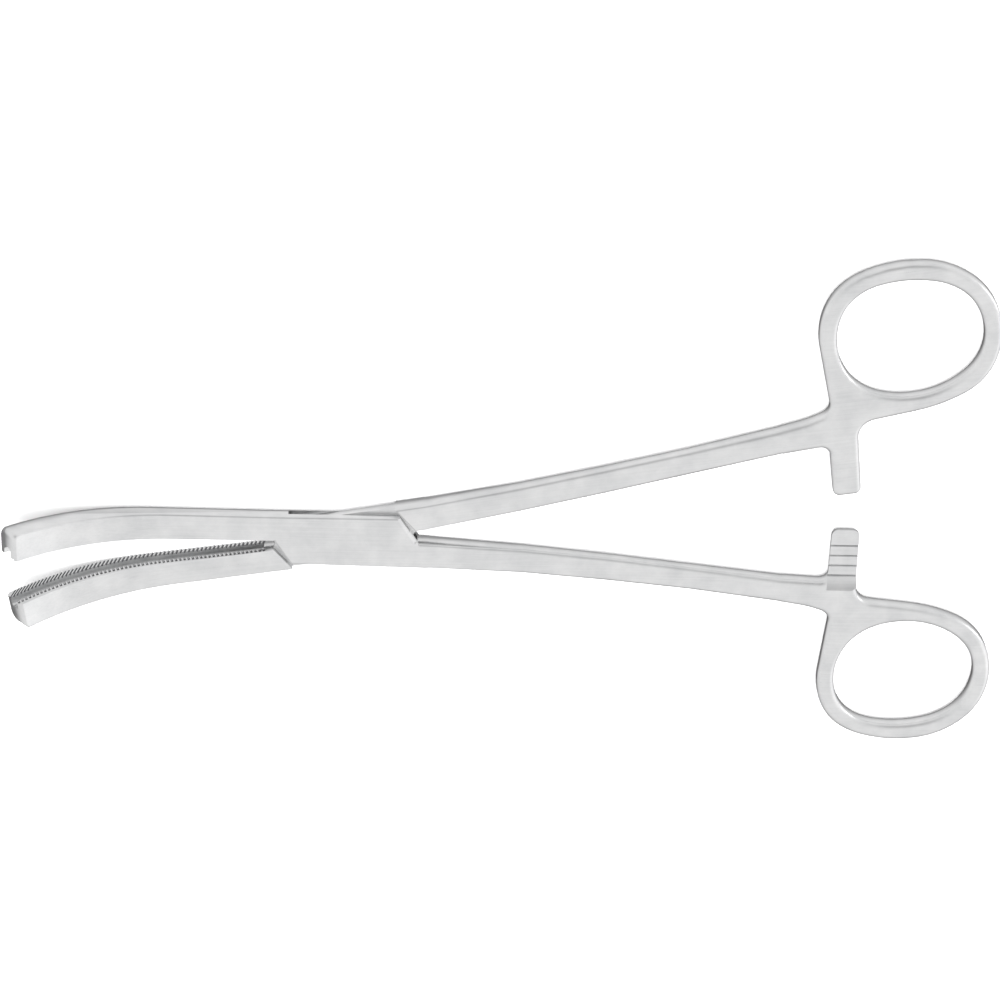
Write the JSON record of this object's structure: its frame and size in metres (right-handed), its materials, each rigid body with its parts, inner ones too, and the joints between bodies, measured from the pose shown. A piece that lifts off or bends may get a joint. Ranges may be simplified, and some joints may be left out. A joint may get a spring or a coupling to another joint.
{
  "type": "angiotribe forceps",
  "caption": "Ring-handled crushing forceps with a box lock, ratchet bars and curved, grooved jaws that turn about a flush rivet.",
  "frame": {"origin": "on the rivet's axis, at the back face of the box lock", "axes": "+X towards the finger rings, midway between the shanks; +Z along the rivet's axis, to the side that the jaws curve to"},
  "size_m": [0.1876, 0.1042, 0.0138],
  "materials": {
    "steel": "satin"
  },
  "bodies": {
    "box_body": {"box_half": "steel", "rivet": "steel"},
    "tang_body": {"tang_half": "steel"}
  },
  "joints": [
    {"name": "box_lock", "type": "hinge", "parent": "box_body", "child": "tang_body", "pos_m": [0, 0, 0], "axis": [0, 0, 1], "range_deg": [-8.6, 35]}
  ]
}
